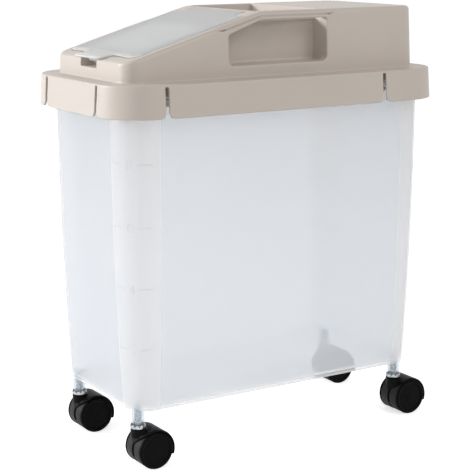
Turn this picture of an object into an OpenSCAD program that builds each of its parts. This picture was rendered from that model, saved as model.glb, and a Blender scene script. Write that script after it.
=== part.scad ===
// Rice bin on four twin-wheel casters, with a lift-off top cover and a flip lid over its pour mouth.
// Frame: origin on the floor under the middle of the bin, +Z up, the pour mouth at the -Y end.

/* [Casters] */
// Diameter of each wheel
wheel_d = 33; // [28:0.5:36]
// Width of each wheel
wheel_w = 13; // [11:0.5:14]
// Thickness of the web between the two wheels of a caster
web_t = 2.2; // [1.8:0.1:3]
// Distance of the wheel axle behind the swivel axis
trail = 10.6; // [9:0.2:12]
// Diameter of the wheel axle
axle_d = 4; // [3:0.5:5]
// Radial gap between the wheels and the fender over them
fender_gap = 0.7; // [0.5:0.1:1.2]
// Wall of the fender
fender_t = 1.8; // [1.5:0.1:2.5]
// How far the fender reaches round the back of the wheels, in degrees below the axle
fender_wrap = 20; // [0:1:30]
// Diameter of the swivel stem
stem_d = 6; // [5:0.5:7]
// Outer diameter of the steel sleeve that the stem turns in
sleeve_d = 9.6; // [9:0.1:10.5]
// Outer diameter of the round socket under the container
socket_d = 12.2; // [11.8:0.1:14]
// Length of the socket below the container's floor
socket_drop = 15.6; // [13:0.2:20]
// Number of teeth round the crown of the sleeve
crown_teeth = 10; // [6:1:14]
// Height of the crown's teeth
crown_h = 2.4; // [1.5:0.1:3]
// Distance of each swivel axis from the long edge of the container's floor
caster_inset_x = 15.1; // [14:0.1:20]
// Distance of each swivel axis from the short edge of the container's floor
caster_inset_y = 9.7; // [9:0.1:16]

/* [Container] */
// Outside length of the container at its rim
container_l = 317; // [290:1:330]
// Outside width of the container at its rim
container_w = 161; // [150:1:168]
// Height of the container from its floor to its rim
container_h = 274; // [220:1:300]
// Corner radius of the container at its rim
container_r = 30.5; // [26:0.5:34]
// How much smaller each side is at the floor than at the rim
floor_inset = 7.6; // [5:0.1:9]
// Wall of the container
container_wall = 2.2; // [1.8:0.1:3]
// Thickness of the container's floor
floor_t = 3; // [2.4:0.1:5]
// Round along the container's bottom edge
bottom_round = 4; // [2:0.5:6]
// Depth of the flat panels between the corner columns
panel_depth = 0.7; // [0.3:0.1:1.2]
// How far the rim stands out from the wall
rim_out = 4; // [2:0.5:5]
// Height of the rim's edge
rim_h = 3; // [2:0.5:4]

/* [Top cover] */
// Length of the cover at its shelf
cover_l = 340; // [336:1:356]
// Width of the cover at its shelf
cover_w = 184; // [181:1:196]
// Corner radius of the cover at its shelf
cover_r = 42; // [40:1:50]
// Wall of the cover
cover_wall = 2.2; // [1.8:0.1:2.8]
// Height of the skirt
skirt_h = 28; // [24:1:34]
// How far the skirt flares out on each side towards its lower edge
skirt_flare = 1.8; // [0:0.1:3]
// Height of the shelf above the container's rim
shelf_rise = 11; // [9:0.5:14]
// Depth of the plug that locates the cover in the container's mouth
plug_depth = 9; // [6:0.5:14]
// Gap between the plug and the container's wall
plug_gap = 0.6; // [0.4:0.1:1]
// Gap between the resting ring of the cover and the container's rim
seat_gap = 0.2; // [0.1:0.05:0.3]
// Width of the slits that part the skirt into tabs
slit_w = 3.4; // [2.5:0.1:5]
// Round at the lower corners of the tabs
tab_round = 5; // [3:0.5:7]
// Place along Y of the front slit in each long side
side_slit_front = -126.9; // [-128:0.1:-115]
// Place along Y of the rear slit in each long side
side_slit_rear = 97.7; // [80:0.1:120]
// Distance of the slits in each short side from the middle
end_slit = 48; // [35:0.5:52]

/* [Hood] */
// Length of the hood where it stands on the shelf
hood_l = 306.4; // [300:0.2:310]
// Width of the hood where it stands on the shelf
hood_w = 138.2; // [136:0.2:144]
// Corner radius of the hood
hood_r = 16; // [14:0.5:20]
// How far each side of the hood leans in from shelf to plateau
hood_lean = 2.4; // [1:0.1:3]
// Height of the hood's front wall above the shelf
hood_front_h = 16.8; // [15:0.1:18]
// Height of the hood's flat plateau above the shelf
hood_h = 56; // [54:0.5:58]
// Slope of the hood's front half, in degrees
slope = 16.2; // [15.6:0.1:17]
// Round of the hood's upper edges
hood_edge = 4; // [3.5:0.1:5]
// Half width of the ridge between the handles, at their ends
ridge_hw = 45; // [44:0.2:46]
// How much the ridge narrows towards the middle of the handles
ridge_waist = 3; // [1:0.2:4]
// Depth of the ridge between the handles below the plateau
ridge_dip = 8; // [7:0.5:12]
// Front end of each handle recess along Y
grip_front = -52; // [-54:0.5:-50]
// Rear end of each handle recess along Y
grip_rear = 51; // [46:0.5:56]
// Height of the floor of each handle recess above the shelf
grip_floor = 10; // [8:0.5:12]
// Width of the handle bar, seen from above
bar_w = 7.4; // [6.5:0.1:8]
// Height of the handle bar's lower edge below the plateau
bar_h = 7.6; // [6.5:0.1:8.5]
// Depth of the scooped upper edge of the handle bar
scoop_d = 5.2; // [4:0.1:6]
// Half width of the pour mouth
mouth_hw = 46; // [40:0.5:48]
// Front end of the pour mouth, along the slope from the front wall
mouth_front = 24; // [22:0.5:30]
// Rear end of the pour mouth, along the slope from the front wall
mouth_rear = 98; // [90:0.5:104]
// Depth of the seat in the slope that the flip lid lies in
seat_depth = 1.8; // [1.4:0.1:2.2]
// Half width of the finger recess in the front wall
notch_hw = 15; // [14:0.5:18]
// Depth of the finger recess behind the front wall
notch_depth = 12.2; // [11:0.2:14]
// Height of the finger recess's floor above the shelf
notch_floor = 9.7; // [8:0.1:11]

/* [Flip lid] */
// Half width of the flip lid
lid_hw = 60.5; // [58:0.5:61]
// Thickness of the flip lid
lid_t = 1.8; // [1.5:0.1:2.2]
// Gap between the flip lid and the seat that it lies in
lid_gap = 0.25; // [0.2:0.05:0.4]
// Place of the lid's shallow crease, along the slope from the front wall
lid_crease = 20.7; // [18:0.1:22]
// Angle by which the lid is flatter in front of the crease, in degrees
lid_bend = 7.5; // [5:0.5:9]
// Half width of the pull tongue
tongue_hw = 23; // [20:0.5:25]
// How far the tongue stands out over the front wall
tongue_out = 2.2; // [1:0.2:4]
// Half width of the pull lip that hangs in the finger recess
pull_hw = 12; // [9:0.5:13]
// Diameter of the lid's hinge barrel
barrel_d = 6.4; // [6:0.1:7]
// Diameter of the lid's hinge trunnions
trunnion_d = 4; // [3.4:0.1:4.4]
// Distance of the hinge axis in front of the crest of the hood
hinge_back = 5; // [4.6:0.1:5.4]
// Depth of the ring under the lid that closes the pour mouth
ring_depth = 4; // [3:0.5:6]

/* [Fits] */
// Radial running clearance of shafts and pins in their bores
run_fit = 0.08; // [0.05:0.01:0.1]
// Side clearance of turning parts
side_fit = 0.2; // [0.15:0.05:0.3]

/* [Hidden] */
$fn = 64;
CORNERS = ["front_left", "front_right", "rear_left", "rear_right"];
CORNER_X = [-1, 1, -1, 1];
CORNER_Y = [-1, -1, 1, 1];
CASTER_PARTS = ["crown_sleeve", "stem", "fender", "axle", "wheel_outer", "wheel_inner"];

eps = 0.01;

// Heights, stacked from the floor up
wheel_r = wheel_d / 2;
fender_r = wheel_r + fender_gap + fender_t;
boss_top = wheel_r + fender_r + 0.5;
sleeve_bottom = boss_top + 0.4;
sleeve_flange_t = 1;
socket_bottom = sleeve_bottom + sleeve_flange_t;
floor_z = socket_bottom + socket_drop;
rim_z = floor_z + container_h;
shelf_z = rim_z + shelf_rise;
skirt_z = shelf_z - skirt_h;
front_z = shelf_z + hood_front_h;
plateau_z = shelf_z + hood_h;

// Casters
caster_x = container_w / 2 - floor_inset - caster_inset_x;
caster_y = container_l / 2 - floor_inset - caster_inset_y;
wheel_in = web_t / 2 + side_fit;
wheel_out = wheel_in + wheel_w;
boss_r = sleeve_d / 2 + 1.9;
socket_r = socket_d / 2;
socket_cap = 2.4;
bore_top = floor_z + floor_t + 1;
crown_gap = 0.05;
crown_wall = 0.7;

// Container profile
body_steps = 4;
bottom_steps = 3;

// Cover
plug_out_w = container_w / 2 - container_wall - plug_gap;
plug_out_l = container_l / 2 - container_wall - plug_gap;
plug_r = container_r - container_wall - plug_gap;
plug_t = 2;
ring_w = container_wall + plug_gap + 1.2;
shelf_edge = 1.5;

// Hood
top_hw = hood_w / 2 - hood_lean;
front_y = -hood_l / 2;
crest_y = front_y + (hood_h - hood_front_h) / tan(slope);
bar_in = top_hw - bar_w;
bar_z = plateau_z - bar_h;
grip_z = shelf_z + grip_floor;
grip_round = 5.5;
slot_front = crest_y + 3;
notch_z = shelf_z + notch_floor;
scoop_front = grip_front - 25;
scoop_full = grip_front;
scoop_back = grip_rear + 3;
scoop_rear = grip_rear + 15;
scoop_in = bar_w - 0.4;

// Flip lid, in the slope's own frame: v runs up the slope and w stands square to it
hinge_y = crest_y - hinge_back;
barrel_r = barrel_d / 2;
trunnion_r = trunnion_d / 2;
lid_under = lid_gap - seat_depth;
lid_top = lid_under + lid_t;
seat_side = 0.6;
hinge_v = (hinge_y - front_y) / cos(slope);
hinge_w = lid_top + 0.15 - barrel_r;
hinge_z = front_z + hinge_v * sin(slope) + hinge_w * cos(slope);
hinge_yy = front_y + hinge_v * cos(slope) - hinge_w * sin(slope);
lid_rear = hinge_v - 9;
barrel_hw = ridge_hw + 1;
cheek_in = barrel_hw + 0.5;
neck_hw = barrel_hw - 1;
trunnion_end = cheek_in + 5;
trough_r = barrel_r + 0.6;
lid_front = 12.4;
scoop_v = 13.4;
ring_gap = 0.6;
ring_t = 1.6;
pull_v = 6.4;
pull_t = 1.6;
pull_depth = 5;

function slope_z(y) = front_z + (y - front_y) * tan(slope);
function surf_z(y) = min(slope_z(y), plateau_z);
function smooth(t) = t <= 0 ? 0 : t >= 1 ? 1 : t * t * (3 - 2 * t);

// Points along an arc from angle a0 to angle a1
function arc(cx, cy, r, a0, a1, n = 6) = [for (i = [0:n]) let (a = a0 + (a1 - a0) * i / n)
                                          [cx + r * cos(a), cy + r * sin(a)]];

// Outline of a rounded rectangle
module rounded_rect(hw, hl, r) {
    polygon(concat(arc(hw - r, hl - r, r, 0, 90, 12), arc(r - hw, hl - r, r, 90, 180, 12),
                   arc(r - hw, r - hl, r, 180, 270, 12), arc(hw - r, r - hl, r, 270, 360, 12)));
}

// Rounded box whose sides follow a profile, listed from the bottom up
// Each point of the profile is how far the side is set in there, and its height
module round_box(hw, hl, r, profile) {
    n = len(profile) - 1;
    mirrored = function (h) concat([for (p = profile) [h - p[0], p[1]]],
                                   [for (i = [n:-1:0]) [profile[i][0] - h, profile[i][1]]]);
    for (x = [r - hw, hw - r]) for (y = [r - hl, hl - r]) translate([x, y, 0]) rotate_extrude()
        polygon(concat([[0, profile[0][1]]], [for (p = profile) [r - p[0], p[1]]], [[0, profile[n][1]]]));
    rotate([90, 0, 0]) linear_extrude(2 * (hl - r), center = true) polygon(mirrored(hw));
    rotate([90, 0, 90]) linear_extrude(2 * (hw - r), center = true) polygon(mirrored(hl));
}

// Straight-sided ring or block with round corners
module round_slab(hw, hl, r, z0, z1) {
    round_box(hw, hl, r, [[0, z0], [0, z1]]);
}

// How far the container's side is set in at height z
function body_inset(z) = floor_inset * pow(max(0, 1 - (z - floor_z) / container_h), 2.2);

// Side profile of the container from height z0, set in by off, with a bottom round of radius r
function body_profile(z0, z1, off, r) = concat(
    [for (k = [0:bottom_steps]) let (a = 90 * k / bottom_steps, z = z0 + r * (1 - cos(a)))
     [body_inset(z) + off + r * (1 - sin(a)), z]],
    [for (k = [1:body_steps]) let (z = z0 + r + (rim_z - 8 - z0 - r) * k / body_steps)
     [k == body_steps ? off : body_inset(z) + off, z]], [[off, z1]]);

// Cut that sets the flat panel back between the corner columns of a side at distance h from the middle
module panel_cut(h, half_len) {
    profile = body_profile(floor_z, rim_z - rim_h, panel_depth, bottom_round);
    rotate([90, 0, 0]) linear_extrude(2 * half_len, center = true)
        polygon(concat([[h + 5, floor_z - 1], [h - profile[0][0], floor_z - 1]],
                       [for (p = profile) [h - p[0], p[1]]], [[h + 5, rim_z - rim_h]]));
}

module at_casters() {
    for (k = [0:3]) translate([CORNER_X[k] * caster_x, CORNER_Y[k] * caster_y, 0]) children();
}

module container() color([0.9, 0.92, 0.94, 0.6]) {
    hw = container_w / 2;
    hl = container_l / 2;
    r = container_r;
    difference() {
        union() {
            difference() {
                union() {
                    difference() {
                        round_box(hw, hl, r, body_profile(floor_z, rim_z, 0, bottom_round));
                        for (a = [0, 180]) rotate([0, 0, a]) panel_cut(hw, hl - r - panel_depth);
                        for (a = [90, 270]) rotate([0, 0, a]) panel_cut(hl, hw - r - panel_depth);
                    }
                    round_slab(hw + rim_out, hl + rim_out, r + rim_out, rim_z - rim_h, rim_z);
                }
                round_box(hw, hl, r,
                          body_profile(floor_z + floor_t, rim_z + 1, container_wall, bottom_round - 1));
            }
            at_casters() translate([0, 0, socket_bottom])
                cylinder(r = socket_r, h = bore_top + socket_cap - socket_bottom);
        }
        at_casters() translate([0, 0, socket_bottom - 1])
            cylinder(d = sleeve_d, h = bore_top - socket_bottom + 1);
    }
}

// Frame of the hood's slope: x across, y up the slope, z square to it
module on_slope() {
    translate([0, front_y, front_z]) rotate([slope, 0, 0]) children();
}

// The hood as one solid, set in by off on every face and by roof more under the slope
module hood_solid(off, base_z, roof = 0) {
    lean = hood_lean / hood_h;
    e = hood_edge - off;
    top = plateau_z - off;
    difference() {
        round_box(hood_w / 2 - off, hood_l / 2 - off, hood_r - off, concat(
            [[(base_z - shelf_z) * lean, base_z], [(top - e - shelf_z) * lean, top - e]],
            [for (a = [15:15:90]) [(top - e - shelf_z) * lean + e * (1 - cos(a)), top - e + e * sin(a)]]));
        on_slope() translate([-hood_w, -20, -off - roof]) cube([2 * hood_w, hood_l, 2 * hood_h]);
    }
}

// Outline of a handle recess in the side wall, in the YZ plane
module grip_outline() {
    top_slope = slope + 3.5;
    corner = grip_front + 4;
    polygon(concat(arc(grip_front + grip_round, grip_z + grip_round, grip_round, 180, 270),
                   arc(grip_rear - grip_round, grip_z + grip_round, grip_round, 270, 360),
                   arc(grip_rear - 2, bar_z - 2, 2, 0, 90), [[crest_y, bar_z]],
                   arc(corner, bar_z - (crest_y - corner) * tan(top_slope) - 4 / cos(top_slope), 4,
                       90 + top_slope, 180)));
}

// Plan of a handle recess behind the wall: the ridge is narrowest in the middle
module grip_plan(off = 0) {
    polygon([[top_hw + 20, grip_front - off], [ridge_hw - off, grip_front - off],
             [ridge_hw - ridge_waist - off, (grip_front + grip_rear) / 2],
             [ridge_hw - off, grip_rear + off], [top_hw + 20, grip_rear + off]]);
}

// Solid whose plan is the recess and whose top follows the roof under the slope
module grip_block(off) {
    intersection() {
        translate([0, 0, grip_z - off]) linear_extrude(plateau_z - grip_z + 20 + off) grip_plan(off);
        rotate([90, 0, 90]) linear_extrude(top_hw + 20)
            polygon([[grip_front - off, grip_z - off], [grip_rear + off, grip_z - off],
                     [grip_rear + off, plateau_z + 20], [slot_front - off, plateau_z + 20],
                     [slot_front - off, surf_z(slot_front) - cover_wall - seat_depth],
                     [grip_front - off, slope_z(grip_front) - cover_wall - seat_depth]]);
    }
}

// Cut that leaves the handle bar in place
module grip_cut() {
    intersection() {
        grip_block(0);
        union() {
            translate([0, -200, 0]) cube([bar_in, 400, plateau_z + 30]);
            rotate([90, 0, 90]) linear_extrude(top_hw + 40) grip_outline();
        }
    }
}

// Trough between the two handle bars, with the ridge as its floor
module ridge_trough(off) {
    hw = ridge_hw + 3;
    translate([-hw, slot_front - off, plateau_z - ridge_dip - off])
        cube([2 * hw, grip_rear - slot_front + 2 * off, ridge_dip + off + 20]);
}

// How much of the scoop along the handle's upper outer edge there is at place y
function scoop_at(y) = smooth((y - scoop_front) / (scoop_full - scoop_front))
                       * (1 - smooth((y - scoop_back) / (scoop_rear - scoop_back)));
function hood_side(z) = top_hw + (plateau_z - z) * hood_lean / hood_h;

module scoop_cut() {
    ys = concat([for (k = [0:6]) scoop_front + (scoop_full - scoop_front) * k / 6],
                [crest_y - 2, crest_y + 4],
                [for (k = [0:5]) scoop_back + (scoop_rear - scoop_back) * k / 5]);
    d = scoop_d;
    w = scoop_in;
    section = function (y)
        let (off = 1.05 * (1 - scoop_at(y)), z = surf_z(y) + d * off, x = hood_side(surf_z(y)) + w * off)
        concat([[x + 6, z - d], [x - w * 0.12, z - d]],
               [for (a = [0:15:90]) [x - w * (0.2 + 0.8 * (1 - cos(a))), z - d * 0.95 * (1 - sin(a))]],
               [[x - w, z + 8], [x + 6, z + 8]]);
    n = len(section(0));
    m = len(ys);
    ends = [[for (i = [0:n - 1]) i], [for (i = [n - 1:-1:0]) (m - 1) * n + i]];
    sides = [for (k = [0:m - 2]) for (i = [0:n - 1]) let (j = (i + 1) % n)
             each [[k * n + j, k * n + i, (k + 1) * n + j], [(k + 1) * n + j, k * n + i, (k + 1) * n + i]]];
    polyhedron(points = [for (y = ys) for (q = section(y)) [q[0], y, q[1]]], faces = concat(ends, sides));
}

// Slit with rounded lower corners of the tabs on either side, in a plane with z up
module slit_outline() {
    h = skirt_h - cover_wall + 0.6;
    translate([-slit_w / 2, -5]) square([slit_w, h + 5 - slit_w / 2]);
    translate([0, h - slit_w / 2]) circle(d = slit_w);
    difference() {
        translate([-slit_w / 2 - tab_round, -5]) square([slit_w + 2 * tab_round, 5 + tab_round]);
        for (s = [-1, 1]) translate([s * (slit_w / 2 + tab_round), tab_round]) circle(tab_round);
    }
}

module slits() {
    for (s = [-1, 1]) {
        for (y = [side_slit_front, side_slit_rear])
            translate([s * cover_w / 2, y, skirt_z]) rotate([90, 0, 90]) translate([0, 0, -cover_wall - 2])
                linear_extrude(2 * cover_wall + 6) slit_outline();
        for (x = [-end_slit, end_slit])
            translate([x, s * cover_l / 2, skirt_z]) rotate([90, 0, 0]) translate([0, 0, -cover_wall - 4])
                linear_extrude(2 * cover_wall + 8) slit_outline();
    }
}

module skirt_shell() {
    hw = cover_w / 2;
    hl = cover_l / 2;
    difference() {
        round_box(hw, hl, cover_r, concat([[-skirt_flare, skirt_z]],
            [for (a = [0:30:90]) [shelf_edge * (1 - cos(a)), shelf_z - shelf_edge * (1 - sin(a))]]));
        round_box(hw, hl, cover_r,
                  [[cover_wall - skirt_flare, skirt_z - eps], [cover_wall, shelf_z - cover_wall]]);
        slits();
    }
}

// Ring under the shelf that rests on the container's rim, with the plug inside it
module seat_ring() {
    under = shelf_z - cover_wall;
    difference() {
        union() {
            round_slab(plug_out_w + ring_w, plug_out_l + ring_w, plug_r + ring_w,
                       rim_z + seat_gap, under + 1);
            round_slab(plug_out_w, plug_out_l, plug_r, rim_z - plug_depth, under + 1);
        }
        round_slab(plug_out_w - plug_t, plug_out_l - plug_t, plug_r - plug_t,
                   rim_z - plug_depth - 1, under + 2);
    }
}

// Round bar along X at the hinge axis
module hinge_bar(r, from, to) {
    translate([from, hinge_yy, hinge_z]) rotate([0, 90, 0]) cylinder(r = r, h = to - from);
}

module notch_box(off) {
    translate([-notch_hw - off, front_y - 5, notch_z - off])
        cube([2 * (notch_hw + off), notch_depth + 5 + off, hood_h]);
}

module mouth_prism() {
    on_slope() translate([0, (mouth_front + mouth_rear) / 2, -20]) linear_extrude(40)
        rounded_rect(mouth_hw, (mouth_rear - mouth_front) / 2, 8);
}

module top_cover() color([0.76, 0.72, 0.68]) {
    difference() {
        union() {
            difference() {
                union() {
                    skirt_shell();
                    hood_solid(0, shelf_z - cover_wall);
                }
                hood_solid(cover_wall, shelf_z - cover_wall - eps, seat_depth);
            }
            seat_ring();
            intersection() {
                hood_solid(0, shelf_z - cover_wall);
                union() {
                    for (s = [0, 1]) mirror([s, 0, 0]) grip_block(cover_wall);
                    ridge_trough(cover_wall);
                    hinge_bar(trough_r + cover_wall, -trunnion_end - 2, trunnion_end + 2);
                    notch_box(cover_wall);
                }
            }
        }
        for (s = [0, 1]) mirror([s, 0, 0]) {
            grip_cut();
            scoop_cut();
        }
        ridge_trough(0);
        notch_box(0);
        mouth_prism();
        hinge_bar(trough_r, -cheek_in, cheek_in);
        translate([-cheek_in + 0.05, hinge_yy - trough_r + 0.05, hinge_z])
            cube([2 * cheek_in - 0.1, 2 * trough_r - 0.1, 12]);
        on_slope() translate([0, 0, -seat_depth]) linear_extrude(12) seat_plan();
        hinge_bar(trunnion_r + run_fit, -trunnion_end - 0.5, trunnion_end + 0.5);
    }
}

// Half outline of the flip lid seen square to the slope, from the tongue to the hinge neck
function lid_half() = concat(
    [[0, -tongue_out]],
    [for (a = [0:22.5:90]) [tongue_hw - 5 + 5 * sin(a), -tongue_out + 5 - 5 * cos(a)]],
    [for (a = [0:22.5:90]) [tongue_hw + 4 - 4 * cos(a), scoop_v - 3.4 + 3.4 * sin(a)]],
    [for (t = [0:0.25:1]) [tongue_hw + 12 + 16 * t, scoop_v - (scoop_v - lid_front) * smooth(t)]],
    [for (a = [0:22.5:90]) [lid_hw - 8 + 8 * sin(a), lid_front + 8 - 8 * cos(a)]],
    [for (a = [0:30:90]) [lid_hw - 3 + 3 * cos(a), lid_rear - 3 + 3 * sin(a)]],
    [[neck_hw, lid_rear], [neck_hw, hinge_v], [0, hinge_v]]);

module both_sides(half) {
    polygon(concat(half, [for (i = [len(half) - 2:-1:1]) [-half[i][0], half[i][1]]]));
}

module lid_plan() {
    both_sides(lid_half());
}

// Plan of the seat in the slope, a little larger than the lid
module seat_plan() {
    g = seat_side;
    both_sides(concat(
        [[0, pull_v], [tongue_hw + g, pull_v]],
        [for (a = [0:22.5:90]) [tongue_hw + 4 - (4 - g) * cos(a), scoop_v - 3.4 + (3.4 - g) * sin(a)]],
        [for (t = [0:0.25:1])
         [tongue_hw + 12 + 16 * t, scoop_v - g - (scoop_v - lid_front) * smooth(t)]],
        [for (a = [0:22.5:90]) [lid_hw - 8 + (8 + g) * sin(a), lid_front + 8 - (8 + g) * cos(a)]],
        [[lid_hw + g, lid_rear + g], [neck_hw + g, lid_rear + g], [neck_hw + g, hinge_v - 1],
         [0, hinge_v - 1]]));
}

// Profile of the lid plate up the slope: flat behind the crease, and lifted in front of it
module lid_profile() {
    front = -tongue_out - 3;
    lift = (lid_crease - front) * tan(lid_bend);
    polygon([[front, lift], [lid_crease, 0], [hinge_v + 5, 0], [hinge_v + 5, lid_t],
             [lid_crease + lid_t * tan(lid_bend / 2), lid_t], [front, lift + lid_t / cos(lid_bend)]]);
}

module flip_lid() color([0.8, 0.81, 0.8, 0.8]) {
    on_slope() translate([0, 0, lid_under]) {
        intersection() {
            translate([0, 0, -10]) linear_extrude(30) lid_plan();
            rotate([90, 0, 90]) linear_extrude(3 * lid_hw, center = true) lid_profile();
        }
        translate([-pull_hw, pull_v, -pull_depth + 2]) cube([2 * pull_hw, pull_t, pull_depth + 0.4]);
        difference() {
            translate([0, (mouth_front + mouth_rear) / 2, -ring_depth]) linear_extrude(ring_depth + 0.5)
                rounded_rect(mouth_hw - ring_gap, (mouth_rear - mouth_front) / 2 - ring_gap, 7.4);
            translate([0, (mouth_front + mouth_rear) / 2, -ring_depth - 1]) linear_extrude(ring_depth + 1)
                rounded_rect(mouth_hw - ring_gap - ring_t,
                             (mouth_rear - mouth_front) / 2 - ring_gap - ring_t, 5.8);
        }
    }
    hinge_bar(barrel_r, -barrel_hw, barrel_hw);
    hinge_bar(trunnion_r, -trunnion_end, trunnion_end);
}

// Steel sleeve in the socket, with a flange below and a crown of teeth round the socket's end
module crown_sleeve() color([0.82, 0.83, 0.85]) {
    crown_in = socket_r + crown_gap;
    difference() {
        union() {
            translate([0, 0, sleeve_bottom]) cylinder(r = crown_in + crown_wall, h = sleeve_flange_t);
            translate([0, 0, sleeve_bottom]) cylinder(d = sleeve_d - 0.1, h = bore_top - 1 - sleeve_bottom);
            translate([0, 0, socket_bottom - eps]) difference() {
                cylinder(r = crown_in + crown_wall, h = crown_h);
                translate([0, 0, -1]) cylinder(r = crown_in, h = crown_h + 2);
                for (k = [0:crown_teeth - 1]) rotate([0, 0, 360 * k / crown_teeth])
                    translate([0, 0, crown_h]) rotate([0, 90, 0]) linear_extrude(20)
                        polygon([[0, -1.5], [crown_h * 0.75, 0], [0, 1.5], [-1, 1.5], [-1, -1.5]]);
            }
        }
        translate([0, 0, sleeve_bottom - 1])
            cylinder(d = stem_d + 2 * run_fit, h = bore_top + 2 - sleeve_bottom);
    }
}

module stem() color([0.78, 0.79, 0.81]) {
    seat = wheel_r + sqrt(pow(wheel_r + fender_gap, 2) - pow(trail, 2)) + 1.2;
    translate([0, 0, seat]) cylinder(d = stem_d, h = bore_top - 2 - seat);
    translate([0, 0, bore_top - 2]) cylinder(d1 = stem_d, d2 = stem_d - 1.6, h = 1.2, $fn = 48);
}

// Plan of the fender: a round nose at the stem that widens to the full width over the wheels
module fender_plan(h) {
    hw = wheel_out - 0.9;
    cylinder(r = boss_r, h = h);
    linear_extrude(h) polygon([[-boss_r * 0.96, -boss_r * 0.28], [boss_r * 0.96, -boss_r * 0.28],
                               [hw, trail - 1.5],
                               [hw, trail + fender_r + 1], [-hw, trail + fender_r + 1], [-hw, trail - 1.5]]);
}

module at_axle() {
    translate([0, trail, wheel_r]) rotate([0, 90, 0]) children();
}

module fender() color([0.09, 0.09, 0.1]) {
    over = wheel_r + fender_gap;
    seat = wheel_r + sqrt(pow(over, 2) - pow(trail, 2)) + 1.2;
    difference() {
        union() {
            intersection() {
                fender_plan(boss_top);
                at_axle() cylinder(r = fender_r, h = 4 * wheel_w, center = true);
            }
            translate([0, 0, wheel_r]) cylinder(r = boss_r, h = boss_top - wheel_r);
        }
        for (s = [0, 1]) mirror([s, 0, 0])
            translate([web_t / 2, 0, 0]) at_axle() cylinder(r = over, h = 2 * wheel_w);
        translate([-50, -60, -10]) cube([100, 140, 10 + wheel_r - over * sin(fender_wrap)]);
        at_axle() cylinder(d = axle_d, h = 60, center = true);
        translate([0, 0, seat]) cylinder(d = stem_d, h = 60);
    }
}

module axle() color([0.75, 0.76, 0.78]) {
    at_axle() cylinder(d = axle_d, h = 2 * (wheel_out - 3), center = true);
}

// Wheel on the +X side of the web: a wide rounded tread, a set-in disc and a hollow back
module wheel() color([0.1, 0.1, 0.11]) {
    e = 2;
    translate([0, trail, wheel_r]) rotate([0, 90, 0]) rotate_extrude($fn = 96)
        polygon(concat(
            [[axle_d / 2 + run_fit, wheel_in], [axle_d / 2 + 2.6, wheel_in],
             [axle_d / 2 + 2.6, wheel_in + 8], [wheel_r - 2.6, wheel_in + 8],
             [wheel_r - 2.6, wheel_in], [wheel_r - 0.6, wheel_in], [wheel_r, wheel_in + 1.2]],
            [for (a = [0:22.5:90]) [wheel_r - e + e * cos(a), wheel_out - e + e * sin(a)]],
            [[wheel_r - 2.6, wheel_out], [wheel_r - 3.2, wheel_out - 0.9], [0, wheel_out - 0.5],
             [0, wheel_out - 2.6], [axle_d / 2 + run_fit, wheel_out - 2.6]]));
}

// Places a caster piece at corner k
module at_corner(k) {
    translate([CORNER_X[k] * caster_x, CORNER_Y[k] * caster_y, 0]) children();
}

module caster_piece(part, k) {
    out = CORNER_X[k] > 0 ? 0 : 1;
    at_corner(k) {
        if (part == "crown_sleeve") crown_sleeve();
        if (part == "stem") stem();
        if (part == "fender") fender();
        if (part == "axle") axle();
        if (part == "wheel_outer") mirror([out, 0, 0]) wheel();
        if (part == "wheel_inner") mirror([1 - out, 0, 0]) wheel();
    }
}

container();
top_cover();
flip_lid();
for (part = CASTER_PARTS) for (k = [0:3])
    caster_piece(part, k);
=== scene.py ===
import functools
import math

import bmesh
import bpy
import numpy as np
import openvdb
from mathutils import Matrix, Vector


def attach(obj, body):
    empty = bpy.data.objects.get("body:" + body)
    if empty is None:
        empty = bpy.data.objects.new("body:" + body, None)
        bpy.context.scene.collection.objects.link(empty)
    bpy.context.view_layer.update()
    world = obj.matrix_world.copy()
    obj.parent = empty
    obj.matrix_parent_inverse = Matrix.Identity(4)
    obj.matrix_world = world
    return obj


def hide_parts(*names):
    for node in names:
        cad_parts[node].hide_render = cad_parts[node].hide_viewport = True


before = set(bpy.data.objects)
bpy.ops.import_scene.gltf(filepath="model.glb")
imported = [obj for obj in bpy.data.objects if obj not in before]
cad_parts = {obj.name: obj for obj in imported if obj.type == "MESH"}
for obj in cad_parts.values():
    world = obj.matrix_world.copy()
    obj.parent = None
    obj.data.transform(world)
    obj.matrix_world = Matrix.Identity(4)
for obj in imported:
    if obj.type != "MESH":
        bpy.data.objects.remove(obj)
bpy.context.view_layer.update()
MM = 0.001

# Heights and walls in mm, the same as in part.scad
SHELF, RIM, PLATEAU, SKIRT = 338.0, 327.0, 394.0, 310.0
WALL = 2.2
GAP = 0.6

# Rounded rectangles in plan: half width, half length, corner radius
HOOD = (69.1, 153.2, 16.0)
COVER = (92.0, 170.0, 42.0)
PLUG = (77.7, 155.7, 27.7)
TUB = (80.5, 158.5, 30.5)
MOUTH = (46.0, 37.0, 8.0)
HOOD_LEAN, SKIRT_FLARE, PLUG_DEPTH = 2.4, 1.8, 9.0

# The hood's slope. Along it, v runs up from its front edge and w stands off its surface
FRONT_Y, FRONT_Z = -153.2, 354.8
SLOPE = math.radians(16.2)
CS, SN = math.cos(SLOPE), math.sin(SLOPE)
CREST_Y = FRONT_Y + (PLATEAU - FRONT_Z) / math.tan(SLOPE)
SEAT, SEAT_R = 1.8, 8.6
MOUTH_V, MOUTH_REACH = 61.0, 18.0

# Handle recesses, the bars outside them and the trough between the bars
RECESS_FRONT, RECESS_REAR, RECESS_FLOOR = -52.0, 51.0, 348.0
SLOT_FRONT = CREST_Y + 3
RIDGE_HW, RIDGE_BOW = 45.0, 3.0
BAR_INSIDE = 59.3
BAR_DEPTH, BAR_WIDTH = 5.3, 7.2
BAR_IN, BAR_IN_RUN, BAR_OUT, BAR_OUT_RUN = -77.0, 25.0, 54.0, 12.0
TROUGH = 8.0

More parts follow.
